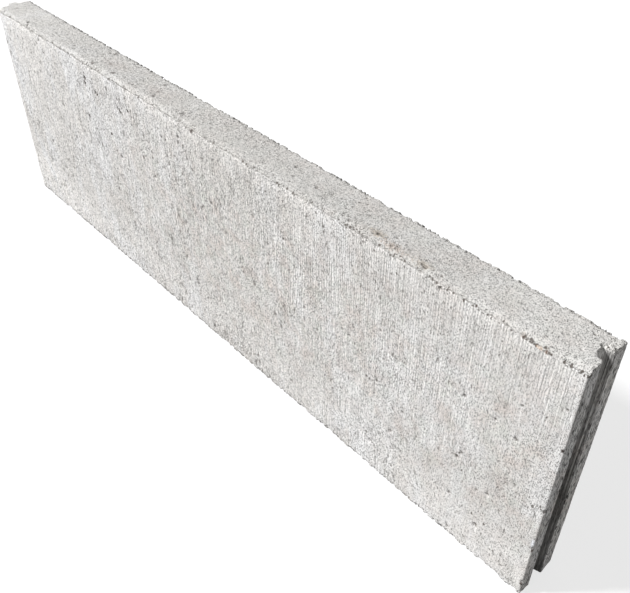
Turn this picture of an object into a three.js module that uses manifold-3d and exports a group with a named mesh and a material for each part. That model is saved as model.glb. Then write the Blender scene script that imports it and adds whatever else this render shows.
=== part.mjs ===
// Concrete kerb stone: one vibro-pressed casting, stood on its base.
//
// The tongue on one end seats in the groove of the next stone in the row, and
// the tamper shoe that closes the mould leaves a chamfer along the front of
// the top face. The back edge of the top stays square.
//
// Millimetres, +Z up. X runs along the row from the tongue end to the groove
// end, and Y across the thickness. The origin is the centre of the base,
// midway between the two shoulders.

import * as THREE from 'three';
import { mergeVertices } from 'three/addons/utils/BufferGeometryUtils.js';
import Module from 'manifold-3d';

// ---- Driving dimensions ----

const LAYING_LENGTH = 1000; // shoulder to shoulder, what one stone adds to a row
const HEIGHT = 300;
const THICKNESS = 50;

const CHAMFER_WIDTH = 5; // taken off the top face along its front edge
const CHAMFER_DROP = 5; // taken off the front side, down from the top face
const CHAMFER_TOP_EASE = 4; // radius where the chamfer runs into the top face
const CHAMFER_SIDE_EASE = 1; // radius where it runs into the front side
const BACK_EDGE_EASE = 0.5; // radius where the top face meets the back side

const GROOVE_MOUTH = 18; // width where the groove opens on the end face
const GROOVE_FLOOR = 12;
const GROOVE_DEPTH = 10;
const GROOVE_LIP_ROUND = 1;
const GROOVE_FLOOR_FILLET = 2.5;

const JOINT_SIDE_PLAY = 1; // on each flank, between a tongue and the groove it seats in
const JOINT_NOSE_PLAY = 1; // between the tongue's nose and the groove floor
const TONGUE_NOSE_ROUND = 3;
const TONGUE_ROOT_FILLET = 1.5;

const SHOULDER_ROUND = 1; // the four upright corners of the stone

const ARC_DIVISIONS = 3; // a rounded corner has twice as many facets
const OVERRUN = 5; // how far one extrusion runs past the other before they are cut

// ---- Dimensions that follow from them ----

const HALF_LENGTH = LAYING_LENGTH / 2;
const HALF_THICKNESS = THICKNESS / 2;
const FLANK_SLOPE = (GROOVE_MOUTH - GROOVE_FLOOR) / 2 / GROOVE_DEPTH;
const TONGUE_LENGTH = GROOVE_DEPTH - JOINT_NOSE_PLAY;
const TONGUE_ROOT = GROOVE_MOUTH - 2 * JOINT_SIDE_PLAY;
const TONGUE_NOSE = TONGUE_ROOT - 2 * FLANK_SLOPE * TONGUE_LENGTH;

// ---- Outlines ----

/** A corner of an outline, eased by a tangent arc of the given radius. */
function corner(x, y, ease = 0) {
  return { point: new THREE.Vector2(x, y), ease };
}

/**
 * Closes the corners, listed anticlockwise, into a shape. An arc is never
 * longer than half of the straight that carries it.
 */
function easedShape(corners) {
  const shape = new THREE.Shape();
  corners.forEach(({ point, ease }, i) => {
    const back = corners.at(i - 1).point.clone().sub(point);
    const ahead = corners[(i + 1) % corners.length].point.clone().sub(point);
    const room = Math.min(back.length(), ahead.length()) / 2;
    back.normalize();
    ahead.normalize();

    const halfAngle = Math.acos(back.dot(ahead)) / 2;
    const setback = Math.min(ease / Math.tan(halfAngle), room);
    const radius = setback * Math.tan(halfAngle);
    const start = back.clone().multiplyScalar(setback).add(point);
    const end = ahead.clone().multiplyScalar(setback).add(point);

    if (i === 0) shape.moveTo(start.x, start.y);
    else shape.lineTo(start.x, start.y);
    if (radius > 0) {
      const centre = back.clone().add(ahead).setLength(radius / Math.sin(halfAngle)).add(point);
      const clockwise = back.cross(ahead) > 0;
      const from = start.sub(centre).angle();
      const to = end.sub(centre).angle();
      shape.absarc(centre.x, centre.y, radius, from, to, clockwise);
    }
  });
  shape.closePath();
  return shape;
}

/**
 * A tongue or a groove from its front flank to its back flank: as wide as
 * shoulder where it meets the end face, and as wide as end at its nose or floor.
 */
function jointCorners(shoulder, end) {
  return [
    corner(shoulder.x, -shoulder.width / 2, shoulder.ease),
    corner(end.x, -end.width / 2, end.ease),
    corner(end.x, end.width / 2, end.ease),
    corner(shoulder.x, shoulder.width / 2, shoulder.ease),
  ];
}

/** The stone seen from above, with the groove at +X and the tongue at -X. */
function planShape() {
  const groove = jointCorners(
    { x: HALF_LENGTH, width: GROOVE_MOUTH, ease: GROOVE_LIP_ROUND },
    { x: HALF_LENGTH - GROOVE_DEPTH, width: GROOVE_FLOOR, ease: GROOVE_FLOOR_FILLET },
  );
  const tongue = jointCorners(
    { x: -HALF_LENGTH, width: TONGUE_ROOT, ease: TONGUE_ROOT_FILLET },
    { x: -HALF_LENGTH - TONGUE_LENGTH, width: TONGUE_NOSE, ease: TONGUE_NOSE_ROUND },
  );
  return easedShape([
    corner(-HALF_LENGTH, -HALF_THICKNESS, SHOULDER_ROUND),
    corner(HALF_LENGTH, -HALF_THICKNESS, SHOULDER_ROUND),
    ...groove,
    corner(HALF_LENGTH, HALF_THICKNESS, SHOULDER_ROUND),
    corner(-HALF_LENGTH, HALF_THICKNESS, SHOULDER_ROUND),
    ...tongue.reverse(),
  ]);
}

/** The stone cut across, with Y to the right and Z up. */
function sectionShape() {
  return easedShape([
    corner(-HALF_THICKNESS, 0),
    corner(HALF_THICKNESS, 0),
    corner(HALF_THICKNESS, HEIGHT, BACK_EDGE_EASE),
    corner(CHAMFER_WIDTH - HALF_THICKNESS, HEIGHT, CHAMFER_TOP_EASE),
    corner(-HALF_THICKNESS, HEIGHT - CHAMFER_DROP, CHAMFER_SIDE_EASE),
  ]);
}

// ---- Solids ----

const wasm = await Module();
wasm.setup();

function extrude(shape, depth) {
  return new THREE.ExtrudeGeometry(shape, {
    depth,
    bevelEnabled: false,
    curveSegments: ARC_DIVISIONS,
  });
}

function solidFrom(geometry) {
  const bare = geometry.clone();
  bare.deleteAttribute('normal');
  bare.deleteAttribute('uv');
  const merged = mergeVertices(bare);
  return new wasm.Manifold(new wasm.Mesh({
    numProp: 3,
    vertProperties: new Float32Array(merged.attributes.position.array),
    triVerts: new Uint32Array(merged.index.array),
  }));
}

function geometryFrom(solid) {
  const { vertProperties, triVerts } = solid.getMesh();
  const indexed = new THREE.BufferGeometry();
  indexed.setAttribute('position', new THREE.BufferAttribute(vertProperties, 3));
  indexed.setIndex(new THREE.BufferAttribute(triVerts, 1));
  const faceted = indexed.toNonIndexed();
  faceted.computeVertexNormals();
  return faceted;
}

/** The plan drawn up through the height, and past it at both ends. */
function planPrism() {
  return extrude(planShape(), HEIGHT + 2 * OVERRUN).translate(0, 0, -OVERRUN);
}

/** The section drawn along the row, and past the tongue and the groove end. */
function sectionBar() {
  const length = LAYING_LENGTH + TONGUE_LENGTH + 2 * OVERRUN;
  const alongRow = new THREE.Matrix4().makeBasis(
    new THREE.Vector3(0, 1, 0),
    new THREE.Vector3(0, 0, 1),
    new THREE.Vector3(1, 0, 0),
  );
  return extrude(sectionShape(), length)
    .applyMatrix4(alongRow)
    .translate(-HALF_LENGTH - TONGUE_LENGTH - OVERRUN, 0, 0);
}

// ---- The stone ----

const concrete = new THREE.MeshStandardMaterial({
  name: 'pressed_concrete',
  color: 0xcfccc6,
  roughness: 0.93,
  metalness: 0,
});

const stone = solidFrom(planPrism()).intersect(solidFrom(sectionBar()));
const kerbStone = new THREE.Mesh(geometryFrom(stone), concrete);
kerbStone.name = 'kerb_stone';

const kerb = new THREE.Group();
kerb.add(kerbStone);

export default kerb;
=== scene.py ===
import logging
import math
from dataclasses import dataclass
from enum import Enum
from functools import cached_property, reduce

import bmesh
import bpy
import numpy as np
from mathutils import Matrix, Vector


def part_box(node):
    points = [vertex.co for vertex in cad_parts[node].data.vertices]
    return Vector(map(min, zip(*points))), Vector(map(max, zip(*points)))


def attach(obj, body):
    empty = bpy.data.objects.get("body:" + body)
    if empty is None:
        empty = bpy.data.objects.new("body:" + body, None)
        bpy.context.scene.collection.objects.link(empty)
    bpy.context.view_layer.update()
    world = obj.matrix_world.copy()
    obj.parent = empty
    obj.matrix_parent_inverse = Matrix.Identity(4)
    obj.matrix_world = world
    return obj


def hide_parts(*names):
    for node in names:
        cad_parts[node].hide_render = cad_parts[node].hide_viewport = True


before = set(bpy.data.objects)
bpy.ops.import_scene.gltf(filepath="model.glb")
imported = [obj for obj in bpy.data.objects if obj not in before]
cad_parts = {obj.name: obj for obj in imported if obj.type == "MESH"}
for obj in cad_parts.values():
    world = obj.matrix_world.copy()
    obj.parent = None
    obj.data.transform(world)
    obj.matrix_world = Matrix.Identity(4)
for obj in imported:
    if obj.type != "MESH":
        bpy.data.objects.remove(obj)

LOG = logging.getLogger("kerb")
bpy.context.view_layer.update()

MM = 0.001
IMAGE_WIDTH = 630
IMAGE_HEIGHT = 593
KERB_NODE = "kerb_stone"
ROOT_BODY = "root"
CAVITY_SHADE = "cavity"
CRISP = "crisp"

Socket = bpy.types.NodeSocket
Triple = tuple[float, float, float]
Colour = tuple[float, float, float, float]


def linked(name: str, data: bpy.types.ID) -> bpy.types.Object:
    """Puts a new object with the given data in the scene.

    Args:
        name: The object's name.
        data: Its mesh, camera or lamp.

    Returns:
        The object.
    """
    thing = bpy.data.objects.new(name, data)
    bpy.context.scene.collection.objects.link(thing)
    return thing


def cleared(owner: bpy.types.Material | bpy.types.World) -> bpy.types.NodeTree:
    """Switches a material or a world to nodes and empties its tree.

    Args:
        owner: The material or the world.

    Returns:
        The empty tree.
    """
    owner.use_nodes = True
    owner.node_tree.nodes.clear()
    return owner.node_tree


class Graph:
    """A node tree being wired, with one short call for each kind of node that repeats."""

    def __init__(self, tree: bpy.types.NodeTree) -> None:
        """Takes an empty tree."""
        self.tree = tree

    def feed(self, socket: Socket, value: object) -> None:
        """Links a socket to another, or sets its value.

        Args:
            socket: The input to feed.
            value: A socket to link from, or a plain value.
        """
        if isinstance(value, Socket):
            self.tree.links.new(value, socket)
        else:
            socket.default_value = value

    def add(self, kind: str, inputs: dict | None = None, **settings: object) -> bpy.types.Node:
        """Adds a node, sets its options and feeds its inputs.

        Args:
            kind: The node's type name.
            inputs: Values or sockets by input name or number.
            **settings: The node's own options.

        Returns:
            The new node.
        """
        node = self.tree.nodes.new(kind)
        for name, value in settings.items():
            setattr(node, name, value)
        for key, value in (inputs or {}).items():
            self.feed(node.inputs[key], value)
        return node

    def math(self, operation: str, *values: object, clamp: bool = False) -> Socket:
        """Returns the result of a Math node on the values."""
        node = self.add("ShaderNodeMath", dict(enumerate(values)), operation=operation, use_clamp=clamp)
        return node.outputs[0]

    def fold(self, operation: str, values: tuple[object, ...]) -> Socket:
        """Returns the values combined one after another by Math nodes of one kind."""
        return reduce(lambda so_far, value: self.math(operation, so_far, value), values)

    def times(self, *values: object) -> Socket:
        """Returns the product of the values."""
        return self.fold("MULTIPLY", values)

    def plus(self, *values: object) -> Socket:
        """Returns the sum of the values."""
        return self.fold("ADD", values)

    def most(self, *values: object) -> Socket:
        """Returns the largest of the values."""
        return self.fold("MAXIMUM", values)

    def minus(self, first: object, second: object, clamp: bool = False) -> Socket:
        """Returns the first value less the second, held between 0 and 1 when it is clamped."""
        return self.math("SUBTRACT", first, second, clamp=clamp)

    def times_plus(self, value: object, factor: object, more: object) -> Socket:
        """Returns a value times a factor, plus some more."""
        return self.math("MULTIPLY_ADD", value, factor, more)

    def share_of(self, value: object, whole: object) -> Socket:
        """Returns a value divided by another."""
        return self.math("DIVIDE", value, whole)

    def apart(self, first: object, second: object) -> Socket:
        """Returns how far apart two numbers are."""
        return self.math("ABSOLUTE", self.minus(first, second))

    def vector(self, operation: str, *values: object) -> Socket:
        """Returns the vector result of a Vector Math node on the values."""
        node = self.add("ShaderNodeVectorMath", dict(enumerate(values)), operation=operation)
        return node.outputs[0]

    def scaled(self, vector: Socket, factor: object) -> Socket:
        """Returns a vector times a number."""
        return self.add("ShaderNodeVectorMath", {0: vector, "Scale": factor}, operation="SCALE").outputs[0]

    def stretched(self, vector: object, factors: Triple) -> Socket:
        """Returns coordinates with each axis times its own factor."""
        return self.vector("MULTIPLY", vector, factors)

    def blend(self, share: object, first: object, second: object) -> Socket:
        """Returns a number between two others."""
        return self.add("ShaderNodeMix", {0: share, 2: first, 3: second}).outputs[0]

    def mix(self, share: object, first: object, second: object) -> Socket:
        """Returns a colour between two others."""
        return self.add("ShaderNodeMix", {0: share, 6: first, 7: second}, data_type="RGBA").outputs[2]

    def ramp(self, value: object, low: float, high: float, start: float = 0.0, end: float = 1.0,
             smooth: bool = True) -> Socket:
        """Maps a value from one range to another, held at both ends.

        Args:
            value: The number or socket to map.
            low: The value that gives start.
            high: The value that gives end.
            start: The result at low.
            end: The result at high.
            smooth: Whether the way between them is eased.

        Returns:
            The mapped value.
        """
        inputs = {0: value, 1: low, 2: high, 3: start, 4: end}
        style = "SMOOTHSTEP" if smooth else "LINEAR"
        return self.add("ShaderNodeMapRange", inputs, interpolation_type=style).outputs[0]

    def line(self, value: object, low: float, high: float, start: float, end: float) -> Socket:
        """Returns a value mapped from one range to another by a straight line, held at both ends."""
        return self.ramp(value, low, high, start, end, smooth=False)

    def noise(self, vector: object, scale: float, detail: float = 2.0, roughness: float = 0.5,
              seed: object = None) -> Socket:
        """Returns fractal noise between 0 and 1.

        Args:
            vector: The coordinates, in millimetres.
            scale: Features per millimetre.
            detail: Octaves.
            roughness: Share that each octave keeps.
            seed: The slice that is read of noise with a fourth dimension.

        Returns:
            The noise value.
        """
        inputs = {"Vector": vector, "Scale": scale, "Detail": detail, "Roughness": roughness}
        if seed is not None:
            inputs["W"] = seed
        dimensions = "3D" if seed is None else "4D"
        return self.add("ShaderNodeTexNoise", inputs, noise_dimensions=dimensions).outputs[0]

    def noise_vector(self, vector: object, scale: float) -> Socket:
        """Returns three noises at once, each between 0 and 1."""
        return self.add("ShaderNodeTexNoise", {"Vector": vector, "Scale": scale, "Detail": 2.0}).outputs[1]

    def centred(self, noise: Socket) -> Socket:
        """Returns fractal noise spread to between about -1 and 1."""
        return self.times_plus(noise, 4.5, -2.25)

    def hollow(self, noise: Socket) -> Socket:
        """Returns fractal noise spread to between 0 and about 1."""
        return self.math("MULTIPLY_ADD", noise, 2.25, -0.625, clamp=True)

    def cells(self, vector: object, scale: float) -> tuple[Socket, Socket, Socket]:
        """Scatters points, and finds the nearest one everywhere.

        Args:
            vector: The coordinates, in millimetres.
            scale: Points per millimetre.

        Returns:
            The distance from the nearest point, and two random numbers of its own from 0 to 1.
        """
        found = self.add("ShaderNodeTexVoronoi", {"Vector": vector, "Scale": scale}).outputs
        chances = self.add("ShaderNodeSeparateXYZ", {0: found["Color"]}).outputs
        return found["Distance"], chances[0], chances[1]

    def marked(self, geometry: Socket, marks: dict[str, object]) -> Socket:
        """Stores numbers on the points of a geometry.

        Args:
            geometry: The mesh or the points.
            marks: Values by attribute name.

        Returns:
            The geometry with its attributes.
        """
        for name, value in marks.items():
            geometry = self.add(
                "GeometryNodeStoreNamedAttribute", {0: geometry, "Name": name, "Value": value},
                data_type="FLOAT", domain="POINT",
            ).outputs[0]
        return geometry


class StoneGraph(Graph):
    """A graph over the kerb's own points, held in millimetres and by axis."""

    PARTING_DROP = 4.6
    CROWN_EASE = 1.0

    def __init__(self, tree: bpy.types.NodeTree, source: tuple[str, str], top: float,
                 crown_drop: float) -> None:
        """Reads the points and tells the crown from the sides.

        Args:
            tree: The shader or geometry tree to fill.
            source: The type name of the node that gives the points, and its output.
            top: The crown's height.
            crown_drop: How far below it the sides end.
        """
        super().__init__(tree)
        kind, output = source
        self.top = top
        self.position = self.add(kind).outputs[output]
        self.place = self.scaled(self.position, 1 / MM)
        self.x, self.y, self.z = self.add("ShaderNodeSeparateXYZ", {0: self.place}).outputs
        self.crown = self.ramp(self.z, top - crown_drop, top - crown_drop + self.CROWN_EASE)

    @cached_property
    def drawn(self) -> Socket:
        """Returns 1 on the sides and 0 on the crown."""
        return self.minus(1.0, self.crown)

    def upright(self, factor: float) -> Socket:
        """Returns the points with their heights times a factor, which pulls a pattern upright."""
        return self.stretched(self.place, (1.0, 1.0, factor))

    def drawn_out(self, factor: object) -> Socket:
        """Coordinates that pull a pattern upright on the sides and leave it alone on the crown.

        Args:
            factor: How much slower the pattern changes upwards on the sides.

        Returns:
            The coordinates.
        """
        pulled = self.add("ShaderNodeCombineXYZ", {0: self.x, 1: self.y, 2: self.times(self.z, factor)})
        inputs = {0: self.drawn, 4: self.place, 5: pulled.outputs[0]}
        return self.add("ShaderNodeMix", inputs, data_type="VECTOR").outputs[1]

    def off_parting_line(self) -> Socket:
        """How far up or down the line is where the tamper shoe met the mould's wall.

        Returns:
            The distance from the line, which wanders about one height along the row.
        """
        along = self.stretched(self.place, (1.0, 0.0, 0.0))
        slow = self.centred(self.noise(along, 0.022, 2, 0.5))
        quick = self.centred(self.noise(along, 0.14, 3, 0.65))
        height = self.times_plus(quick, 0.55, self.times_plus(slow, 0.6, self.top - self.PARTING_DROP))
        return self.apart(self.z, height)


class Side(Enum):
    """A face of the kerb that carries marks at set places."""

    FRONT = "front"
    CROWN = "crown"

    def point(self, x: float, across: float, front: float, top: float) -> Vector:
        """Returns a point of this face, where the front side and the crown are at front and top."""
        return Vector((x, front, across) if self is Side.FRONT else (x, across, top))


@dataclass(frozen=True)
class Void:
    """A blowhole or a chip: a bowl sunk into one face, in millimetres, and how much painted shade darkens it,
    from 0 to 1.
    """

    side: Side
    x: float
    across: float
    radius: float
    depth: float
    # How much painted shade darkens the bowl.
    tone: float = 1.0


@dataclass(frozen=True)
class Burr:
    """A lump of paste left on the casting: the hull of a few points, in millimetres."""

    points: tuple[Triple, ...]


@dataclass(frozen=True)
class Chip:
    """A corner knocked off: where it was, and how far along X, Y and Z the break runs, in millimetres."""

    corner: Triple
    reach: Triple


@dataclass(frozen=True)
class Patch:
    """A tinted patch on one face, in millimetres: its middle, its radii along X, Y and Z, and its look.

    A patch on the front can have its middle inset from the face.
    """

    side: Side
    x: float
    across: float
    radii: Triple
    colour: Colour
    strength: float
    tear: float = 0.35
    inset: float = 0.0


@dataclass
class VoidField:
    """The helper points that say where blowholes and chips go."""

    low: Vector
    high: Vector
    voids: tuple[Void, ...]

    def build(self) -> bpy.types.Object:
        """Makes a mesh of loose points with a reach, a depth and an amount of painted shade each.

        Returns:
            The helper object, which is removed once the skin is made.
        """
        mesh = bpy.data.meshes.new("void_points")
        places = [
            void.side.point(void.x * MM, void.across * MM, self.low.y, self.high.z)
            for void in self.voids
        ]
        mesh.from_pydata(places, [], [])
        columns = {
            "bowl_reach": [void.radius for void in self.voids],
            "bowl_depth": [void.depth for void in self.voids],
            "bowl_tone": [void.tone for void in self.voids],
        }
        for name, values in columns.items():
            mesh.attributes.new(name, "FLOAT", "POINT").data.foreach_set("value", values)
        return linked("void_points", mesh)


@dataclass
class SkinRelief:
    """Geometry Nodes that turn crisp mould faces into a pressed concrete skin.

    Lengths are in millimetres, and all relief goes into the stone.
    """

    crown_height: float
    half_thickness: float
    crown_drop: float = 5.5
    soft_steps: int = 6
    chip_steps: int = 40
    edge_wear: float = 0.4
    chip_wear: float = 0.35
    wave: float = 0.3
    crown_grain: float = 0.4
    crumble: float = 3.4
    foot_crumble: float = 3.2
    side_ripple: float = 0.10
    mould_line_depth: float = 0.3
    mould_line_width: float = 0.9
    void_density: float = 900.0
    void_radius: float = 2.0
    seed: float = 3.7

    SETTINGS = (
        "edge_wear", "chip_wear", "wave", "crown_grain", "crumble", "foot_crumble", "side_ripple",
        "mould_line_depth", "mould_line_width", "void_density", "void_radius", "seed",
    )

    def tree(self) -> tuple[bpy.types.NodeTree, dict[str, str]]:
        """Wires the tree.

        Returns:
            The node tree, and each input's identifier by its name.
        """
        tree = bpy.data.node_groups.new("pressed_skin", "GeometryNodeTree")
        settings = dict.fromkeys(self.SETTINGS, "Float")
        kinds = {"Casting": "Geometry", "Voids": "Object", **settings, "Finish": "Material"}
        sockets = {}
        for name, kind in kinds.items():
            socket = tree.interface.new_socket(name, in_out="INPUT", socket_type=f"NodeSocket{kind}")
            sockets[name] = socket.identifier
        tree.interface.new_socket("Skin", in_out="OUTPUT", socket_type="NodeSocketGeometry")

        source = ("GeometryNodeInputPosition", "Position")
        graph = StoneGraph(tree, source, self.crown_height, self.crown_drop)
        given = graph.add("NodeGroupInput").outputs
        worn = self.worn_edges(graph, given)
        sunk, cavity, broken = self.relief(graph, given)
        hollow, hole, hole_shade = self.voids(graph, given)
        normal = graph.add("GeometryNodeInputNormal").outputs[0]
        depth = graph.times(graph.plus(sunk, hollow), MM)
        moved = graph.vector("SUBTRACT", worn, graph.scaled(normal, depth))
        skin = graph.add("GeometryNodeSetPosition", {0: given["Casting"], "Position": moved}).outputs[0]
        # The stored shade is painted into the colour by the shader: shade in the voids, the crumbled edges
        # and the mould line.
        skin = graph.marked(skin, {CAVITY_SHADE: graph.most(cavity, hole_shade), CRISP: graph.most(broken, hole)})
        smooth = graph.add("GeometryNodeSetShadeSmooth", {0: skin}).outputs[0]
        real = graph.add("GeometryNodeRealizeInstances", {0: smooth}).outputs[0]
        dressed = graph.add("GeometryNodeSetMaterial", {0: real, "Material": given["Finish"]}).outputs[0]
        graph.add("NodeGroupOutput", {0: dressed})
        return tree, sockets

    def worn_edges(self, graph: StoneGraph, given: object) -> Socket:
        """Rounds the arrises unevenly, by pulling them towards blurred copies of the shape.

        Args:
            graph: The tree being wired.
            given: The tree's inputs.

        Returns:
            The worn positions.
        """
        def pulled(steps: int, share: Socket) -> Socket:
            """The way from each point towards a blurred copy of it.

            Args:
                steps: How often the copy is blurred.
                share: How much of the way it goes.

            Returns:
                The move.
            """
            inputs = {"Value": graph.position, "Iterations": steps}
            blurred = graph.add("GeometryNodeBlurAttribute", inputs, data_type="FLOAT_VECTOR").outputs[0]
            return graph.scaled(graph.vector("SUBTRACT", blurred, graph.position), share)

        ragged = graph.ramp(graph.noise(graph.place, 0.2, 4, 0.7, given["seed"]), 0.40, 0.68, 0.0, 2.0)
        ragged = graph.times(ragged, given["edge_wear"])
        chipped = graph.ramp(graph.noise(graph.place, 0.05, 4, 0.65, given["seed"]), 0.60, 0.70)
        chipped = graph.times(chipped, given["chip_wear"])
        soft = graph.vector("ADD", graph.position, pulled(self.soft_steps, ragged))
        return graph.vector("ADD", soft, pulled(self.chip_steps, chipped))

    def relief(self, graph: StoneGraph, given: object) -> tuple[Socket, Socket, Socket]:
        """Waves, grain, crumbled edges and the mould line.

        Args:
            graph: The tree being wired.
            given: The tree's inputs.

        Returns:
            The depth, the painted shade in the crumbled edges and the mould line, and how broken the skin is,
            both from 0 to 1.
        """
        seed = given["seed"]
        wave = graph.ramp(graph.noise(graph.place, 0.009, 2, 0.5, seed), 0.45, 0.75)
        wave = graph.times(wave, given["wave"])
        coarse = graph.ramp(graph.noise(graph.place, 0.3, 3, 0.6, seed), 0.42, 0.72)
        coarse = graph.times(coarse, given["crown_grain"])
        ripple = graph.hollow(graph.noise(graph.upright(0.05), 0.28, 2, 0.6, seed))
        ripple = graph.times(ripple, given["side_ripple"])
        crumbled = self.crumbled(graph, given)
        grain = graph.plus(graph.blend(graph.crown, ripple, coarse), crumbled)

        side = graph.ramp(graph.y, 1.2 - self.half_thickness, 0.6 - self.half_thickness)
        broken = graph.ramp(graph.noise(graph.place, 0.16, 3, 0.7, seed), 0.50, 0.62)
        off_line = graph.share_of(graph.off_parting_line(), given["mould_line_width"])
        mould_line = graph.times(graph.minus(1.0, off_line, clamp=True), side, broken)
        depth = graph.plus(wave, grain, graph.times(mould_line, given["mould_line_depth"]))
        # Painted shade in the crumbled notches, and a little along the mould line.
        crumb_shade = graph.ramp(crumbled, 0.6, 2.0, 0.0, 0.5)
        cavity = graph.most(graph.math("MULTIPLY", mould_line, 0.1, clamp=True), crumb_shade)
        return depth, cavity, graph.ramp(crumbled, 0.3, 0.7)

    def crumbled(self, graph: StoneGraph, given: object) -> Socket:
        """Crumbs missing along the crown's back arris and along the foot.

        Args:
            graph: The tree being wired.
            given: The tree's inputs.

        Returns:
            The depth.
        """
        seed = given["seed"]
        side = graph.ramp(graph.math("ABSOLUTE", graph.y), self.half_thickness - 4, self.half_thickness - 1)
        rougher = graph.ramp(graph.x, 50, -300, 1.0, 1.5)
        nibbled = graph.ramp(graph.noise(graph.place, 0.21, 3, 0.7, seed), 0.47, 0.58)
        lumps = graph.ramp(graph.noise(graph.place, 0.10, 4, 0.7, seed), 0.50, 0.66)
        back = graph.ramp(graph.y, -5.0, 5.0, 0.12, 1.0)
        at_crown = graph.times(graph.most(lumps, nibbled), graph.crown, back, given["crumble"])
        crumbs = graph.ramp(graph.noise(graph.place, 0.15, 4, 0.7, seed), 0.47, 0.60)
        foot = graph.ramp(graph.z, 5.0, 1.0)
        at_foot = graph.times(graph.most(crumbs, nibbled), foot, given["foot_crumble"])
        return graph.times(side, rougher, graph.plus(at_crown, at_foot))

    def void_cloud(self, graph: StoneGraph, given: object) -> Socket:
        """Scatters blowholes at random and joins those at set places to them.

        Args:
            graph: The tree being wired.
            given: The tree's inputs.

        Returns:
            One point for each blowhole, with its reach, its depth and the painted shade in it.
        """
        cluster = graph.ramp(graph.noise(graph.place, 0.02, 3, 0.6, given["seed"]), 0.42, 0.66, 0.15, 1.0)
        density = graph.times(cluster, given["void_density"])
        scattered = graph.add(
            "GeometryNodeDistributePointsOnFaces", {0: given["Casting"], "Density": density, "Seed": 11},
            distribute_method="RANDOM",
        ).outputs[0]
        chance = graph.add("FunctionNodeRandomValue", {"Seed": 5}, data_type="FLOAT").outputs[1]
        size = graph.times(graph.plus(0.5, graph.math("POWER", chance, 3.0)), given["void_radius"])
        marks = {"bowl_reach": size, "bowl_depth": graph.times(size, 0.6), "bowl_tone": 1.0}
        placed = graph.add("GeometryNodeObjectInfo", {0: given["Voids"]}).outputs["Geometry"]
        chosen = graph.add("GeometryNodeMeshToPoints", {0: placed}).outputs[0]
        joined = graph.add("GeometryNodeJoinGeometry")
        graph.feed(joined.inputs[0], graph.marked(scattered, marks))
        graph.feed(joined.inputs[0], chosen)
        return joined.outputs[0]

    def voids(self, graph: StoneGraph, given: object) -> tuple[Socket, Socket, Socket]:
        """Sinks a bowl round each blowhole.

        Args:
            graph: The tree being wired.
            given: The tree's inputs.

        Returns:
            The depth, where there's a hole, and the painted shade in it, both from 0 to 1.
        """
        cloud = self.void_cloud(graph, given)
        nearest = graph.add("GeometryNodeSampleNearest", {0: cloud}, domain="POINT").outputs[0]

        def read(value: Socket, kind: str = "FLOAT") -> Socket:
            """Returns what the nearest blowhole has for a value."""
            inputs = {0: cloud, "Value": value, "Index": nearest}
            return graph.add("GeometryNodeSampleIndex", inputs, data_type=kind, domain="POINT").outputs[0]

        def stored(name: str) -> Socket:
            """Returns a number stored on the points."""
            return graph.add("GeometryNodeInputNamedAttribute", {"Name": name}, data_type="FLOAT").outputs[0]

        ends = {0: graph.position, 1: read(graph.position, "FLOAT_VECTOR")}
        gap = graph.add("ShaderNodeVectorMath", ends, operation="DISTANCE").outputs["Value"]
        uneven = graph.line(graph.noise(graph.place, 0.7, 2, 0.6, given["seed"]), 0.25, 0.75, 0.7, 1.35)
        share = graph.share_of(graph.times(graph.share_of(gap, MM), uneven), read(stored("bowl_reach")))
        bowl = graph.ramp(share, 1.1, 0.4)
        hole = graph.ramp(share, 1.0, 0.65)
        depth = graph.times(bowl, read(stored("bowl_depth")))
        return depth, hole, graph.times(hole, read(stored("bowl_tone")))


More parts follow.
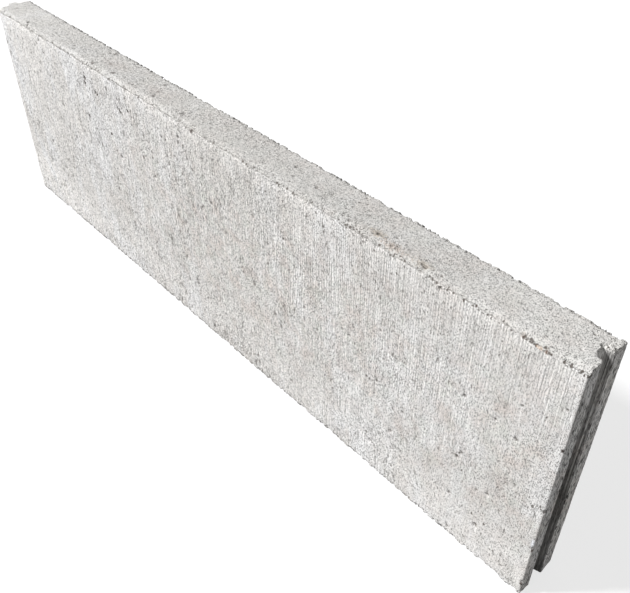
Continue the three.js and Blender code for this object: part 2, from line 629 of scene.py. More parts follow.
@dataclass
class KerbCasting:
    """The whole stone: the exact casting with a burred, worn and pitted skin."""

    low: Vector
    high: Vector
    voids: tuple[Void, ...]
    burrs: tuple[Burr, ...]
    chips: tuple[Chip, ...]
    finish: bpy.types.Material
    voxel: float = 1.0
    merge_gap: float = 0.001
    most_triangles: int = 190_000
    hole_mark: float = 0.5

    def shell(self) -> bpy.types.Object:
        """Copies the exact casting as one closed mesh, with its chips and burrs.

        Returns:
            The working object.
        """
        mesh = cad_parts[KERB_NODE].data.copy()
        mesh.materials.clear()
        casting = linked("casting", mesh)
        edit = bmesh.new()
        edit.from_mesh(mesh)
        bmesh.ops.remove_doubles(edit, verts=edit.verts, dist=self.merge_gap * MM)
        for chip in self.chips:
            self.knock_off(edit, chip)
        for burr in self.burrs:
            lump = [edit.verts.new(Vector(point) * MM) for point in burr.points]
            bmesh.ops.convex_hull(edit, input=lump)
        edit.to_mesh(mesh)
        edit.free()
        return casting

    def knock_off(self, edit: bmesh.types.BMesh, chip: Chip) -> None:
        """Cuts a corner off along a plane and closes the cut.

        Args:
            edit: The casting.
            chip: The corner and its reaches.
        """
        corner, reach = Vector(chip.corner), Vector(chip.reach)
        everything = [*edit.verts, *edit.edges, *edit.faces]
        outward = Vector([-1 / side for side in reach])
        on_plane = (corner + Vector((reach.x, 0, 0))) * MM
        bmesh.ops.bisect_plane(edit, geom=everything, plane_co=on_plane, plane_no=outward, clear_outer=True)
        bmesh.ops.holes_fill(edit, edges=[edge for edge in edit.edges if edge.is_boundary])

    def baked(self, source: bpy.types.Object, name: str) -> bpy.types.Object:
        """Turns an object with its modifiers into a plain one.

        Args:
            source: The object, which is removed.
            name: The plain object's name.

        Returns:
            The plain object.
        """
        graph = bpy.context.evaluated_depsgraph_get()
        mesh = bpy.data.meshes.new_from_object(source.evaluated_get(graph))
        mesh.name = name
        result = linked(name, mesh)
        bpy.data.objects.remove(source)
        return result

    def build(self) -> bpy.types.Object:
        """Makes the stone's visible mesh.

        Returns:
            The finished piece, with no modifier left on it.
        """
        casting = self.shell()
        remesh = casting.modifiers.new("voxels", "REMESH")
        remesh.mode = "VOXEL"
        remesh.voxel_size = self.voxel * MM

        helper = VoidField(self.low, self.high, self.voids).build()
        relief = SkinRelief(crown_height=self.high.z / MM, half_thickness=self.high.y / MM)
        tree, sockets = relief.tree()
        skin = casting.modifiers.new("skin", "NODES")
        skin.node_group = tree
        skin[sockets["Voids"]] = helper
        skin[sockets["Finish"]] = self.finish
        for name in relief.SETTINGS:
            skin[sockets[name]] = float(getattr(relief, name))

        dense = self.baked(casting, "dense_skin")
        LOG.info("dense skin: %d points", len(dense.data.vertices))
        bpy.data.objects.remove(helper)
        thin = dense.modifiers.new("thin", "DECIMATE")
        thin.vertex_group = self.holes(dense).name
        thin.invert_vertex_group = True
        triangles = sum(len(face.vertices) - 2 for face in dense.data.polygons)
        thin.ratio = min(1.0, self.most_triangles / triangles)
        kerb = self.baked(dense, "kerb_casting")
        kerb.data.attributes.remove(kerb.data.attributes[CRISP])
        self.keep_inside(kerb.data)
        return kerb

    def holes(self, dense: bpy.types.Object) -> bpy.types.VertexGroup:
        """Groups the points in the voids and on broken edges, which keep all their faces.

        Args:
            dense: The object with the full skin.

        Returns:
            The vertex group.
        """
        crisp = np.empty(len(dense.data.vertices), np.float32)
        dense.data.attributes[CRISP].data.foreach_get("value", crisp)
        group = dense.vertex_groups.new(name="holes")
        group.add(np.flatnonzero(crisp > self.hole_mark).tolist(), 1.0, "REPLACE")
        return group

    def keep_inside(self, mesh: bpy.types.Mesh) -> None:
        """Holds every point within the exact casting's box.

        Args:
            mesh: The finished mesh.
        """
        points = np.empty(len(mesh.vertices) * 3, np.float32)
        mesh.vertices.foreach_get("co", points)
        points = np.clip(points.reshape(-1, 3), self.low, self.high)
        mesh.vertices.foreach_set("co", points.astype(np.float32).ravel())
        mesh.update()


@dataclass(frozen=True)
class PoreKind:
    """Pinholes of one size, scattered in cells: how rare they are, and their radii as a share of a cell."""

    cells_per_mm: float
    rarity: float
    smallest: float
    largest: float
    far_width: float = 1.0
    thins_out: bool = True


@dataclass(frozen=True)
class ConcreteFinish:
    """Light-grey pressed concrete: drawn upright lines on the sides, open grain on the crown."""

    crown_height: float
    half_length: float
    half_thickness: float
    patches: tuple[Patch, ...] = ()
    paste: Colour = (0.695, 0.678, 0.659, 1.0)
    warm: Colour = (0.60, 0.545, 0.51, 1.0)
    cool: Colour = (0.60, 0.615, 0.57, 1.0)
    bloom: Colour = (0.84, 0.85, 0.87, 1.0)
    crown_paste: Colour = (0.637, 0.624, 0.603, 1.0)
    pore_shade: Colour = (0.13, 0.115, 0.10, 1.0)
    pore_kinds: tuple[PoreKind, ...] = (
        PoreKind(0.62, 0.74, 0.14, 0.54, thins_out=False),
        PoreKind(0.24, 0.70, 0.06, 0.36, 1.1),
        PoreKind(0.125, 0.66, 0.10, 0.24, 1.4),
    )
    crown_drop: float = 5.2
    sand_scale: float = 1.8
    sand_depth: float = 0.86
    grit_scale: float = 0.7
    grit_depth: float = 0.06
    far_grit: float = 0.27
    side_lines: float = 0.32
    line_pitch: float = 2.9
    line_height: float = 0.065
    pore_height: float = -0.35
    pore_shade_strength: float = 0.9
    # The groove's painted shade: the share of the paste's colour left there, and the paler streaks in it.
    groove_shade: float = 0.43
    groove_half_width: float = 9.4
    groove_ridges: tuple[Triple, ...] = ((3.3, 1.0, 1.4), (1.0, 0.8, 0.9))
    end_shade: float = 0.90
    roughness: float = 0.93
    gloss: float = 0.3

    def material(self) -> bpy.types.Material:
        """Wires the shader.

        Returns:
            The material.
        """
        material = bpy.data.materials.new("pressed_concrete")
        source = ("ShaderNodeTexCoord", "Object")
        graph = StoneGraph(cleared(material), source, self.crown_height, self.crown_drop)

        mottle = graph.centred(graph.noise(graph.upright(0.6), 0.16, 3, 0.75))
        blotch = graph.times_plus(mottle, graph.ramp(graph.x, -450, -200, 0.01, 0.028), 1.0)
        lines = graph.times(self.drawn_lines(graph), graph.drawn)
        streak = graph.times_plus(lines, self.side_lines, 1.0)
        shade = graph.times(self.sand(graph), streak, blotch)
        stained = self.stained(graph, graph.mix(graph.crown, self.paste, self.crown_paste))
        colour = self.painted_groove_shade(graph, graph.scaled(stained, shade))

        # Painted shade: the pinholes, the stored shade of the voids, crumbs and mould line, the mould line's
        # drawn shadow, the scuffs and the crumbled arrises are all mixed towards a dark colour that stands
        # for the shade inside them.
        cavity = graph.add("ShaderNodeAttribute", attribute_name=CAVITY_SHADE).outputs["Fac"]
        marks = (self.pores(graph), self.mould_line(graph), self.scuffs(graph), self.broken_arris_shade(graph))
        dark = graph.most(cavity, *marks)
        colour = graph.mix(graph.math("MULTIPLY", dark, self.pore_shade_strength, clamp=True), colour, self.pore_shade)

        height = graph.times_plus(dark, self.pore_height, graph.times(lines, self.line_height))
        bump = graph.add("ShaderNodeBump", {"Strength": 1.0, "Distance": MM, "Height": height}).outputs[0]
        surface = {
            "Base Color": colour,
            "Roughness": self.roughness,
            "Specular IOR Level": self.gloss,
            "Normal": bump,
        }
        shader = graph.add("ShaderNodeBsdfPrincipled", surface).outputs[0]
        graph.add("ShaderNodeOutputMaterial", {0: shader})
        return material

    def sand(self, graph: StoneGraph) -> Socket:
        """Fine sand in the paste, most of it pale, and grit that shows more towards the tongue end.

        Args:
            graph: The tree being wired.

        Returns:
            A factor for the colour.
        """
        on_end = graph.ramp(graph.x, self.half_length - 11.0, self.half_length - 10.0)
        between_sides = graph.ramp(
            graph.math("ABSOLUTE", graph.y), self.half_thickness - 0.5, self.half_thickness - 1.5,
        )
        place = graph.drawn_out(graph.line(graph.times(on_end, between_sides), 0.0, 1.0, 0.5, 0.12))

        calm_top = graph.times(graph.ramp(graph.z, 170, 240), graph.ramp(graph.x, 100, 320))
        calm_foot = graph.times(graph.ramp(graph.z, 190, 90, 0.3, 0.95), graph.ramp(graph.x, 280, 400))
        end = graph.ramp(graph.x, self.half_length - 0.9, self.half_length - 0.4)
        calm = graph.times(graph.most(calm_top, calm_foot), graph.minus(graph.drawn, end, clamp=True))
        amount = graph.times(
            graph.line(calm, 0.0, 1.0, 1.0, 0.64), self.sand_depth, graph.ramp(end, 0, 1, 1, 1.5),
        )
        _, rank, tone = graph.cells(place, self.sand_scale)
        speck = graph.line(rank, 0.73, 0.79, -0.24, 0.76)
        dark = graph.times_plus(graph.minus(tone, 0.5), 0.15, graph.times(speck, amount))

        far_corner = graph.times(
            graph.ramp(graph.x, -300, -420, 0.0, 0.45), graph.ramp(graph.z, 190, 250), graph.drawn,
        )
        open_crown = graph.times(graph.crown, graph.ramp(graph.x, -380, -250, 0.0, 0.35))
        depth = graph.times(
            graph.ramp(graph.x, 350, -350, self.grit_depth, self.far_grit),
            graph.plus(graph.minus(1.0, far_corner), open_crown),
        )
        _, rank, _ = graph.cells(place, self.grit_scale)
        grit = graph.line(rank, 0.66, 0.72, -0.31, 0.69)
        return graph.minus(1.0, graph.times_plus(grit, depth, dark))

    def drawn_lines(self, graph: StoneGraph) -> Socket:
        """The upright lines that the mould draws in the sides as it lifts off.

        Args:
            graph: The tree being wired.

        Returns:
            The lines, about -1 in a hollow and 1 on a ridge.
        """
        drift = graph.noise(graph.upright(0.1), 0.06, 2, 0.5)
        phase = graph.times_plus(drift, 14.0, graph.times(graph.x, 2 * math.pi / self.line_pitch))
        comb = graph.times(graph.math("SINE", phase), graph.ramp(graph.z, 120, 240, 0.1, 0.4))
        fine = graph.centred(graph.noise(graph.upright(0.02), 1.05, 1, 0.6))
        broad = graph.centred(graph.noise(graph.upright(0.03), 0.11, 2, 0.5))
        lines = graph.times_plus(broad, 0.06, graph.times_plus(fine, 0.85, comb))
        rising = graph.line(graph.z, 20, 290, 0.68, 1.0)
        along = graph.times(
            graph.line(graph.x, -500, 200, 0.7, 1.0), graph.ramp(graph.x, 250, 480, 1.0, 0.85),
        )
        uneven = graph.ramp(graph.noise(graph.place, 0.012, 2, 0.5), 0.35, 0.65, 0.6, 1.3)
        return graph.times(lines, rising, along, uneven)

    def pores(self, graph: StoneGraph) -> Socket:
        """Pinholes of a few sizes, gathered in clusters and pulled longer on the sides.

        Args:
            graph: The tree being wired.

        Returns:
            1 in a hole and 0 elsewhere.
        """
        torn = graph.vector("SUBTRACT", graph.noise_vector(graph.place, 0.5), (0.5, 0.5, 0.5))
        spot = graph.vector("ADD", graph.drawn_out(0.55), graph.scaled(torn, 1.6))
        cluster = graph.times(graph.minus(graph.noise(graph.place, 0.028, 3, 0.6), 0.5), 1.6)
        fewer = graph.plus(
            graph.ramp(graph.x, 240, 400, -0.06, 0.08), graph.ramp(graph.z, 120, 60, 0.0, -0.05),
            graph.ramp(graph.x, -270, -400, 0.0, 0.10),
        )
        holes = []
        for kind in self.pore_kinds:
            gap, rank, tone = graph.cells(spot, kind.cells_per_mm)
            chance = graph.plus(rank, cluster)
            if kind.thins_out:
                chance = graph.minus(chance, fewer)
            radius = graph.times(
                graph.line(chance, kind.rarity, 1.3, kind.smallest, kind.largest),
                graph.ramp(graph.x, 300, -350, 1.0, kind.far_width),
            )
            wanted = graph.ramp(chance, kind.rarity - 0.02, kind.rarity + 0.06)
            wanted = graph.times(wanted, graph.line(tone, 0.0, 1.0, 0.5, 1.0))
            holes.append(graph.times(graph.ramp(graph.share_of(gap, radius), 1.0, 0.55), wanted))
        return graph.most(*holes)

    def scuffs(self, graph: StoneGraph) -> Socket:
        """Small torn marks in loose clusters, pulled longer on the sides.

        Args:
            graph: The tree being wired.

        Returns:
            How dark each point is, from 0 to 1.
        """
        spot = graph.drawn_out(0.45)
        high_up = graph.times(
            graph.ramp(graph.z, 190, 230), graph.drawn, graph.ramp(graph.x, -50, 50, 0.0, 0.010),
        )
        small = graph.plus(
            graph.minus(graph.noise(spot, 0.40, 3, 0.75), 0.644),
            graph.ramp(graph.x, -150, 50, 0.0, 0.008), high_up,
        )
        large = graph.minus(graph.noise(spot, 0.19, 3, 0.75), 0.660)
        large = graph.minus(large, graph.ramp(graph.x, 100, 300, 0.0, 0.04))
        easier = graph.plus(
            graph.ramp(graph.noise(graph.place, 0.026, 3, 0.6), 0.44, 0.62, 0.0, 0.045),
            graph.ramp(graph.x, 330, 430, 0.0, -0.02),
            graph.times(graph.ramp(graph.z, 120, 60, 0.0, 0.024), graph.ramp(graph.x, -280, -60)),
        )
        return graph.ramp(graph.plus(graph.most(small, large), easier), 0.0, 0.03, 0.0, 0.8)

    def broken_arris_shade(self, graph: StoneGraph) -> Socket:
        """Painted shade in dots where the foot and the crown's back arris have crumbled.

        Args:
            graph: The tree being wired.

        Returns:
            How dark each point is, from 0 to 1.
        """
        foot = graph.ramp(graph.z, 2.6, 1.2)
        back = graph.times(
            graph.ramp(graph.y, self.half_thickness - 2.6, self.half_thickness - 1.2),
            graph.ramp(graph.z, self.crown_height - 2.6, self.crown_height - 1.2),
            graph.ramp(graph.x, 300, 420, 1.0, 0.45),
        )
        crumb_dots = graph.ramp(graph.noise(graph.place, 0.28, 3, 0.75), 0.49, 0.60, 0.08, 0.75)
        return graph.times(graph.most(foot, back), crumb_dots)

    def mould_line(self, graph: StoneGraph) -> Socket:
        """Painted shade along the line where the tamper shoe met the mould's wall: a thin dotted dark line
        for the shadow of the small step there, and dark chips along it.

        Args:
            graph: The tree being wired.

        Returns:
            1 in the line and 0 elsewhere.
        """
        away = graph.off_parting_line()
        front = graph.ramp(graph.y, 5.0 - self.half_thickness, 4.0 - self.half_thickness)
        dots = graph.ramp(graph.noise(graph.place, 0.34, 4, 0.85), 0.49, 0.59, 0.10, 0.8)
        dots = graph.most(dots, graph.ramp(graph.x, -60, -240, 0.0, 0.30))
        dots = graph.math("MULTIPLY", dots, graph.ramp(graph.x, -250, 100, 1.25, 0.85), clamp=True)
        width = graph.times_plus(dots, 0.6, 0.3)
        line_shadow = graph.times(graph.ramp(graph.share_of(away, width), 1.0, 0.4), dots)

        gap, rank, tone = graph.cells(graph.place, 0.34)
        common = graph.line(graph.x, 0, 450, 0.80, 0.45)
        radius = graph.line(tone, 0.0, 1.0, 0.34, 0.62)
        chips = graph.times(
            graph.ramp(graph.share_of(gap, radius), 1.0, 0.7), graph.math("GREATER_THAN", rank, common),
            graph.ramp(away, 2.4, 1.4),
        )
        return graph.times(graph.most(line_shadow, chips), front)

    def brightness(self, graph: StoneGraph) -> Socket:
        """How bright the paste is: a painted highlight along the top of the sides, a paler foot, a darker
        chamfer, darker smudges and painted shade on the groove end's face.

        Args:
            graph: The tree being wired.

        Returns:
            A factor for the colour.
        """
        x, z = graph.x, graph.z
        near_front = graph.ramp(graph.y, 7.0 - self.half_thickness, 5.0 - self.half_thickness)
        chamfer = graph.times(graph.crown, near_front)
        chamfer_tone = graph.plus(
            graph.ramp(x, -30, 20, 0.965, 0.81), graph.ramp(x, 140, 190, 0.0, 0.05),
            graph.ramp(x, -300, -350, 0.0, -0.03),
        )
        # Painted highlight: a paler band along the top of the sides, just below the mould line.
        rim_highlight = graph.times(graph.ramp(z, 272, 293), graph.ramp(graph.crown, 0, 1, 1, 0))
        far = graph.times(graph.ramp(x, -280, -420), graph.ramp(z, 190, 260, 0.07, 0.14))
        foot = graph.times(
            graph.ramp(z, 80, 40),
            graph.most(graph.ramp(x, 240, 400, 0.03, 0.11), graph.ramp(x, -100, -250, 0.03, 0.075)),
        )
        crown_tone = graph.plus(
            graph.ramp(x, 350, 430, 0.0, 0.085), graph.ramp(x, 190, 140, -0.045, -0.013),
            graph.ramp(x, -300, -380, 0.0, -0.03),
        )
        smudge = graph.ramp(graph.noise(graph.upright(0.6), 0.10, 4, 0.7), 0.54, 0.66, 0.0, 0.09)
        return graph.times(
            graph.blend(chamfer, 1.0, chamfer_tone),
            graph.times_plus(rim_highlight, graph.ramp(x, 100, 400, 0.11, 0.045), 1.0),
            graph.plus(far, 1.0),
            graph.plus(foot, 1.0),
            graph.ramp(graph.apart(z, self.crown_height / 2), 30, 90, 0.993, 1.016),
            # Painted shade: the groove end's face is made darker.
            graph.ramp(x, self.half_length - 1.0, self.half_length - 0.4, 1.0, self.end_shade),
            graph.times_plus(graph.crown, crown_tone, 1.0),
            graph.minus(1.0, graph.times(smudge, graph.ramp(x, -480, -200, 0.3, 1.0))),
        )

    def stained(self, graph: StoneGraph, colour: Socket) -> Socket:
        """Lays the warm, cool and pale clouds over the paste, and then the patches.

        Args:
            graph: The tree being wired.
            colour: The paste's own colour.

        Returns:
            The colour before lines and pores.
        """
        colour = graph.scaled(colour, self.brightness(graph))
        much = graph.times(
            graph.ramp(graph.apart(graph.z, 165.0), 150, 40, 0.35, 1.0),
            graph.ramp(graph.x, -420, 60, 0.12, 1.0),
        )
        warm = graph.ramp(graph.noise(graph.place, 0.036, 5, 0.72), 0.42, 0.66, 0.0, 0.8)
        elsewhere = graph.vector("ADD", graph.place, (700.0, 0.0, 0.0))
        cool = graph.ramp(graph.noise(elsewhere, 0.04, 5, 0.72), 0.45, 0.68, 0.0, 0.6)
        colour = graph.mix(graph.times(warm, much), colour, self.warm)
        colour = graph.mix(graph.times(cool, much), colour, self.cool)

        drips = graph.stretched(graph.vector("ADD", graph.place, (0.0, 0.0, 900.0)), (1.0, 1.0, 0.35))
        far_or_low = graph.most(
            graph.ramp(graph.x, 0, -480, 0.3, 0.55), graph.ramp(graph.z, 75, 30, 0.0, 0.45),
        )
        share = graph.times(
            graph.ramp(graph.noise(drips, 0.024, 4, 0.65), 0.44, 0.64), far_or_low,
            graph.ramp(graph.crown, 0.0, 1.0, 1.0, 0.35),
        )
        colour = graph.mix(share, colour, self.bloom)
        rough = graph.centred(graph.noise(graph.place, 0.45, 3, 0.75))
        for patch in self.patches:
            colour = self.patched(graph, colour, rough, patch)
        return colour

    def patched(self, graph: StoneGraph, colour: Socket, rough: Socket, patch: Patch) -> Socket:
        """Lays one soft, ragged patch over the colour.

        Args:
            graph: The tree being wired.
            colour: The colour so far.
            rough: The noise that tears the patch's edge.
            patch: The patch.

        Returns:
            The colour with the patch.
        """
        middle = patch.side.point(patch.x, patch.across, patch.inset - self.half_thickness, self.crown_height)
        reach = graph.vector("DIVIDE", graph.vector("SUBTRACT", graph.place, middle), patch.radii)
        far = graph.add("ShaderNodeVectorMath", {0: reach}, operation="LENGTH").outputs["Value"]
        ragged = graph.plus(far, graph.times(rough, patch.tear))
        return graph.mix(graph.ramp(ragged, 1.0, 0.4, 0.0, patch.strength), colour, patch.colour)

    def painted_groove_shade(self, graph: StoneGraph, colour: Socket) -> Socket:
        """Painted shade inside the groove's mouth: the paste there is darkened in upright streaks, more so
        lower down and not at all in the top few millimetres.

        Args:
            graph: The tree being wired.
            colour: The colour so far.

        Returns:
            The colour with the groove's painted shade.
        """
        share = graph.times(
            graph.ramp(graph.x, self.half_length - 8.0, self.half_length - 6.0),
            graph.ramp(graph.math("ABSOLUTE", graph.y), self.groove_half_width + 0.5, self.groove_half_width),
            graph.ramp(graph.z, self.crown_height - 3.0, self.crown_height - 6.0),
        )
        streaks = graph.centred(graph.noise(graph.upright(0.02), 0.8, 2, 0.75))
        for inward, width, extra in self.groove_ridges:
            ridge = graph.ramp(graph.apart(graph.x, self.half_length - inward), width, 0.0, 0.0, extra)
            streaks = graph.plus(streaks, ridge)
        shade = graph.times_plus(streaks, 0.7 * self.groove_shade, self.groove_shade)
        shade = graph.times(shade, graph.ramp(graph.z, 120, 215, 0.52, 1.12))
        return graph.scaled(colour, graph.blend(share, 1.0, shade))


@dataclass(frozen=True)
class Viewpoint:
    """A pinhole camera beside the groove end, looking down along the front face."""

    place: Triple = (664.0, -429.0, 690.0)
    azimuth: float = 49.6
    elevation: float = 40.2
    roll: float = -0.59
    focal_pixels: float = 771.0
    centre_pixel: tuple[float, float] = (306.1, 307.7)
    sensor: float = 36.0

    def build(self) -> bpy.types.Object:
        """Makes the camera and sets it as the scene's.

        Returns:
            The camera object.
        """
        data = bpy.data.cameras.new("view")
        data.sensor_width = self.sensor
        data.lens = self.focal_pixels / IMAGE_WIDTH * self.sensor
        data.shift_x = (IMAGE_WIDTH / 2 - self.centre_pixel[0]) / IMAGE_WIDTH
        data.shift_y = (self.centre_pixel[1] - IMAGE_HEIGHT / 2) / IMAGE_WIDTH
        data.clip_start = 10 * MM

        turn, tip = math.radians(self.azimuth), math.radians(self.elevation)
        back = Vector((math.sin(turn) * math.cos(tip), -math.cos(turn) * math.cos(tip), math.sin(tip)))
        right = Vector((0, 0, 1)).cross(back).normalized()
        axes = Matrix((right, back.cross(right), back)).transposed().to_4x4()
        roll = Matrix.Rotation(math.radians(self.roll), 4, "Z")
        camera = linked("view", data)
        camera.matrix_world = Matrix.Translation(Vector(self.place) * MM) @ axes @ roll
        bpy.context.scene.camera = camera
        return camera


@dataclass(frozen=True)
class Studio:
    """A pale floor, a pale surround, one soft key light and a weak even fill."""

    floor_size: float = 8.0
    key_strength: float = 3.7
    key_angle: float = 6.0
    key_from: Triple = (-0.50, -0.58, 0.64)
    fill: float = 0.22
    floor_seen: float = 0.38
    floor_glow: float = 0.72
    floor_bounce: float = 0.35
    white: Colour = (1.0, 1.0, 1.0, 1.0)

    def floor(self) -> None:
        """Lays the floor at the stone's base."""
        half = self.floor_size / 2
        mesh = bpy.data.meshes.new("floor")
        corners = [(-half, -half, 0), (half, -half, 0), (half, half, 0), (-half, half, 0)]
        mesh.from_pydata(corners, [], [(0, 1, 2, 3)])
        floor = linked("floor", mesh)
        material = bpy.data.materials.new("pale_floor")
        graph = Graph(cleared(material))
        seen = graph.add("ShaderNodeLightPath").outputs["Is Camera Ray"]
        lit = graph.add("ShaderNodeBsdfDiffuse", {0: (self.floor_seen,) * 3 + (1.0,)}).outputs[0]
        dim = graph.add("ShaderNodeBsdfDiffuse", {0: (self.floor_bounce,) * 3 + (1.0,)}).outputs[0]
        glow = graph.add("ShaderNodeEmission", {0: self.white, 1: self.floor_glow}).outputs[0]
        shown = graph.add("ShaderNodeAddShader", {0: lit, 1: glow}).outputs[0]
        both = graph.add("ShaderNodeMixShader", {0: seen, 1: dim, 2: shown}).outputs[0]
        graph.add("ShaderNodeOutputMaterial", {0: both})
        mesh.materials.append(material)

    def surround(self) -> None:
        """Sets a white world for the camera and a weak even one for light."""
        world = bpy.data.worlds.new("surround")
        bpy.context.scene.world = world
        graph = Graph(cleared(world))
        path = graph.add("ShaderNodeLightPath").outputs
        direct = graph.most(path["Is Camera Ray"], path["Is Glossy Ray"], path["Is Transmission Ray"])
        strength = graph.line(direct, 0, 1, self.fill, 1.0)
        glow = graph.add("ShaderNodeBackground", {0: self.white, 1: strength}).outputs[0]
        graph.add("ShaderNodeOutputWorld", {0: glow})

    def key(self) -> None:
        """Hangs the key light."""
        data = bpy.data.lights.new("key", "SUN")
        data.energy = self.key_strength
        data.angle = math.radians(self.key_angle)
        lamp = linked("key", data)
        lamp.rotation_euler = Vector(self.key_from).to_track_quat("Z", "Y").to_euler()

    def build(self) -> None:
        """Sets the stage and the view transform."""
        self.floor()
        self.surround()
        self.key()
        bpy.context.scene.view_settings.view_transform = "Standard"


def pits(side: Side, places: tuple[Triple, ...], steepness: float = 0.6,
         tone: float = 1.0) -> tuple[Void, ...]:
    """Returns voids with one amount of painted shade, whose depth is a share of their radius, from places and
    radii.
    """
    return tuple(Void(side, x, across, radius, steepness * radius, tone) for x, across, radius in places)


def shade_specks(side: Side, places: tuple[Triple, ...], strength: float = 0.95) -> tuple[Patch, ...]:
    """Paints the shade of small chips and pits on one face, too fine for the mesh, as near-black patches.

    Args:
        side: The face.
        places: Each one's place on the face and its radius.
        strength: How much of their dark colour shows.

    Returns:
        A patch for each.
    """
    dark, inward, tear = (0.065, 0.045, 0.036, 1.0), 3.0, 0.5
    chips = []
    for x, across, radius in places:
        radii = (radius, inward, 1.5 * radius) if side is Side.FRONT else (radius, radius, inward)
        chips.append(Patch(side, x, across, radii, dark, strength, tear))
    return tuple(chips)


# A program that finds dark marks printed 25 of these 34 places, which were then rounded. The other nine were
# read off one by one.
FRONT_VOIDS = pits(Side.FRONT, (
    (-410, 121, 2.8), (-376, 49, 2.4), (-257, 218, 2.8), (-248.5, 282, 2.2), (-249, 275, 3.4),
    (-250, 267, 2.8), (-225, 263, 3.0), (-221, 261, 2.6), (-200, 214, 2.4), (-170, 260, 2.6),
    (-165, 257, 2.8), (-144, 266, 2.4), (-150, 73, 2.2), (-50, 13, 2.4), (-38, 156, 2.2),
    (33, 263, 2.0), (128, 212, 2.0),
    (162, 32, 2.3), (186, 162, 1.9), (230, 86, 2.0), (293, 41, 2.8), (297, 136, 2.0), (297, 203, 2.0),
    (315, 184, 2.0), (321, 81, 2.3), (354, 101, 1.9), (403, 61, 2.6), (408, 127, 2.3), (435, 195, 2.2),
    (438, 45, 3.3), (444, 99, 2.5), (456, 229, 1.8), (467, 137, 1.8), (492, 254, 2.0),
))
ARRIS_CHIPS = pits(Side.FRONT, ((500, 211, 2.8), (500, 131, 3.2), (500, 75, 3.4), (500, 20, 3.0)), tone=0.15)
MOULD_LINE_VOIDS = pits(Side.FRONT, (
    (-426, 294, 2.2), (-287, 295, 2.2), (-234, 295, 2.2), (-4, 295, 2.2), (25, 295, 1.8), (196, 295, 2.0),
    (267, 294, 1.8), (293, 295.5, 1.6), (316, 296.5, 1.8), (337, 296, 2.0), (409, 294.5, 1.4),
    (428, 295.5, 1.4),
), steepness=0.7)
END_LINE_VOIDS = pits(Side.FRONT, (
    (443, 294.5, 1.6), (463, 293.5, 1.6), (484, 295.5, 1.4), (495, 295, 1.5),
), tone=0.2)
CROWN_VOIDS = pits(Side.CROWN, (
    (137, -21, 2.2), (141, 5, 2.0), (184, -5, 2.2), (203, -2, 1.8), (245, -20, 2.6), (266, -23, 2.2),
    (278, -15, 2.4), (298, -20, 2.2), (319, -22, 2.0), (335, -19, 2.6), (394, -22, 2.0), (-417, -16.5, 3.2),
    (482, -8, 1.8), (479, 13.5, 1.8), (486, 23, 2.0),
))
LIP_CHIPS = pits(Side.CROWN, (
    (496.0, 9.6, 2.2), (498.3, 10.0, 3.2), (500, 10.2, 4.2), (500, 19.4, 2.2), (500, -18, 2.2),
), tone=0.05)
NOTCH_VOIDS = pits(Side.CROWN, ((491.0, 7.5, 3.0), (492.4, 9.4, 2.6)), steepness=1.8)
VOIDS = FRONT_VOIDS + ARRIS_CHIPS + MOULD_LINE_VOIDS + END_LINE_VOIDS + CROWN_VOIDS + LIP_CHIPS + NOTCH_VOIDS

CORNER_CHIPS = (
    Chip((500, 25, 0), (-8, -13, 7)),
)
GROOVE_BURRS = (
    Burr((
        (489, -8, 299.8), (489, -1, 299.8), (491, -0.6, 299.6), (493.8, -4.2, 299.5), (493.8, -8, 299.6),
        (489, -6, 295), (489.3, -2.5, 297.5), (493.5, -7.5, 296),
    )),
    Burr((
        (492.5, -9, 299.7), (493.5, -5, 299.5), (498.2, -5.8, 299.4), (499.6, -8.2, 299.3),
        (499.5, -11, 299.4), (493, -8, 295.5), (498.5, -7.6, 296), (499.4, -10, 293.5),
    )),
)

# A program that finds dark marks printed 16 of the first 19 places. Another program moved the next ten to the
# darkest spot nearby. The last six were read off one by one.
FRONT_SHADE_SPECKS = shade_specks(Side.FRONT, (
    (498, 211.3, 1.7), (498.8, 130.3, 1.6), (495.5, 132, 1.1), (498.8, 72, 1.5), (492.3, 254.4, 1.2),
    (498.8, 17, 2.0), (396, 295.9, 1.2), (437, 298.8, 1.0), (442.5, 294.3, 1.4), (450.8, 294.8, 0.9),
    (454.3, 293.7, 1.2), (463.5, 293.6, 1.3), (468, 294.4, 1.0), (478.8, 295.2, 1.0),
    (484.3, 295.7, 1.3), (493.9, 295.6, 1.3), (496.2, 294.3, 1.1), (384, 293.9, 1.2), (412, 293.8, 0.9),
    (-249, 275, 3.0), (-251, 268, 2.4), (-222, 262, 2.4), (-257, 219, 2.8), (-165, 259, 2.4),
    (-200, 214, 2.4), (-121, 213, 2.2), (-98, 222, 1.8), (-144, 266, 1.8), (-23, 268, 1.6),
    (-0.5, 298.5, 3.4), (-2.7, 294, 2.8), (22, 298, 2.6), (30, 297.5, 2.6), (38, 297.5, 2.8),
    (-113, 297, 2.8),
))
CROWN_SHADE_SPECKS = shade_specks(Side.CROWN, (
    (-233, 17.3, 4.6), (-228, -20, 4.0), (-184, -16, 4.4), (-210, -4, 3.4), (-94, -14, 3.4),
    (-101, -3.5, 3.0), (-111, 12.6, 3.0),
), strength=0.7)
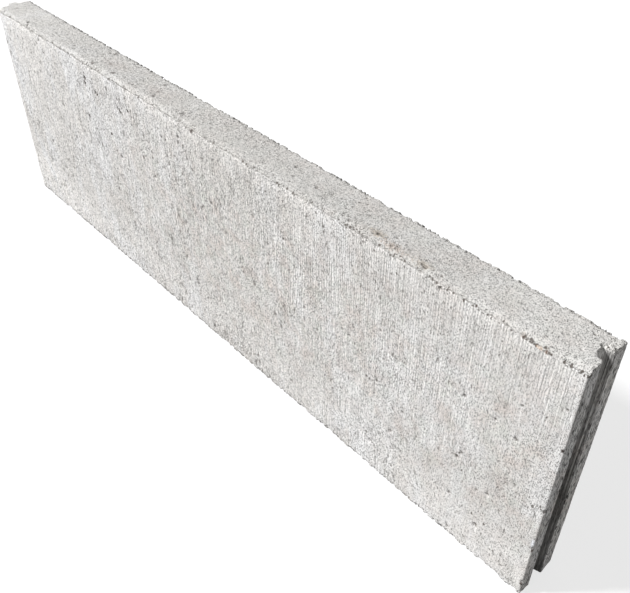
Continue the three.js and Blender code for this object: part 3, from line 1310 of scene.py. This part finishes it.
STAINS = (
    Patch(Side.CROWN, -202, 0, (34, 14, 4), (0.56, 0.50, 0.465, 1.0), 0.3, 0.9),
    Patch(Side.CROWN, -101, -2, (30, 13, 4), (0.56, 0.50, 0.465, 1.0), 0.3, 0.9),
    Patch(Side.FRONT, 496.5, 249, (4, 3, 5), (0.92, 0.91, 0.89, 1.0), 0.7),
    Patch(Side.FRONT, 498, 83, (2.6, 3, 9), (0.84, 0.88, 0.93, 1.0), 0.6),
    Patch(Side.FRONT, 123, 277, (3, 3, 15), (0.86, 0.86, 0.88, 1.0), 0.55),
    Patch(Side.FRONT, 457.5, 294, (4, 6, 2.2), (0.74, 0.53, 0.38, 1.0), 0.5),
    Patch(Side.FRONT, 463, 294, (3, 4, 2.4), (0.30, 0.21, 0.16, 1.0), 0.5, 0.6),
    Patch(Side.FRONT, 442, 296, (4, 5, 3), (0.30, 0.22, 0.17, 1.0), 0.35, 0.6),
    Patch(Side.CROWN, 278, -15, (13, 6, 4), (0.40, 0.33, 0.25, 1.0), 0.5, 0.9),
    Patch(Side.CROWN, 300, -20, (15, 6, 4), (0.44, 0.35, 0.29, 1.0), 0.5, 0.9),
    Patch(Side.CROWN, 335, -19, (12, 6, 4), (0.40, 0.34, 0.27, 1.0), 0.5, 0.9),
    # The last patch only darkens a broad area over the upper middle of the front a little.
    Patch(Side.FRONT, 80, 275, (110, 60, 70), (0.56, 0.54, 0.51, 1.0), 0.28, inset=5.0),
)
PATCHES = FRONT_SHADE_SPECKS + CROWN_SHADE_SPECKS + STAINS


def main() -> None:
    """Builds the view, the studio and the stone."""
    logging.basicConfig(level=logging.INFO, format="%(name)s: %(message)s")
    low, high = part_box(KERB_NODE)
    camera = Viewpoint().build()
    LOG.info("%s: lens %.1f mm", camera.name, camera.data.lens)
    Studio().build()
    finish = ConcreteFinish(high.z / MM, high.x / MM, high.y / MM, PATCHES).material()
    kerb = KerbCasting(low, high, VOIDS, GROOVE_BURRS, CORNER_CHIPS, finish).build()
    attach(kerb, ROOT_BODY)
    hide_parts(KERB_NODE)
    LOG.info("%s: %d points, %d faces", kerb.name, len(kerb.data.vertices), len(kerb.data.polygons))


if __name__ == "__main__":
    main()
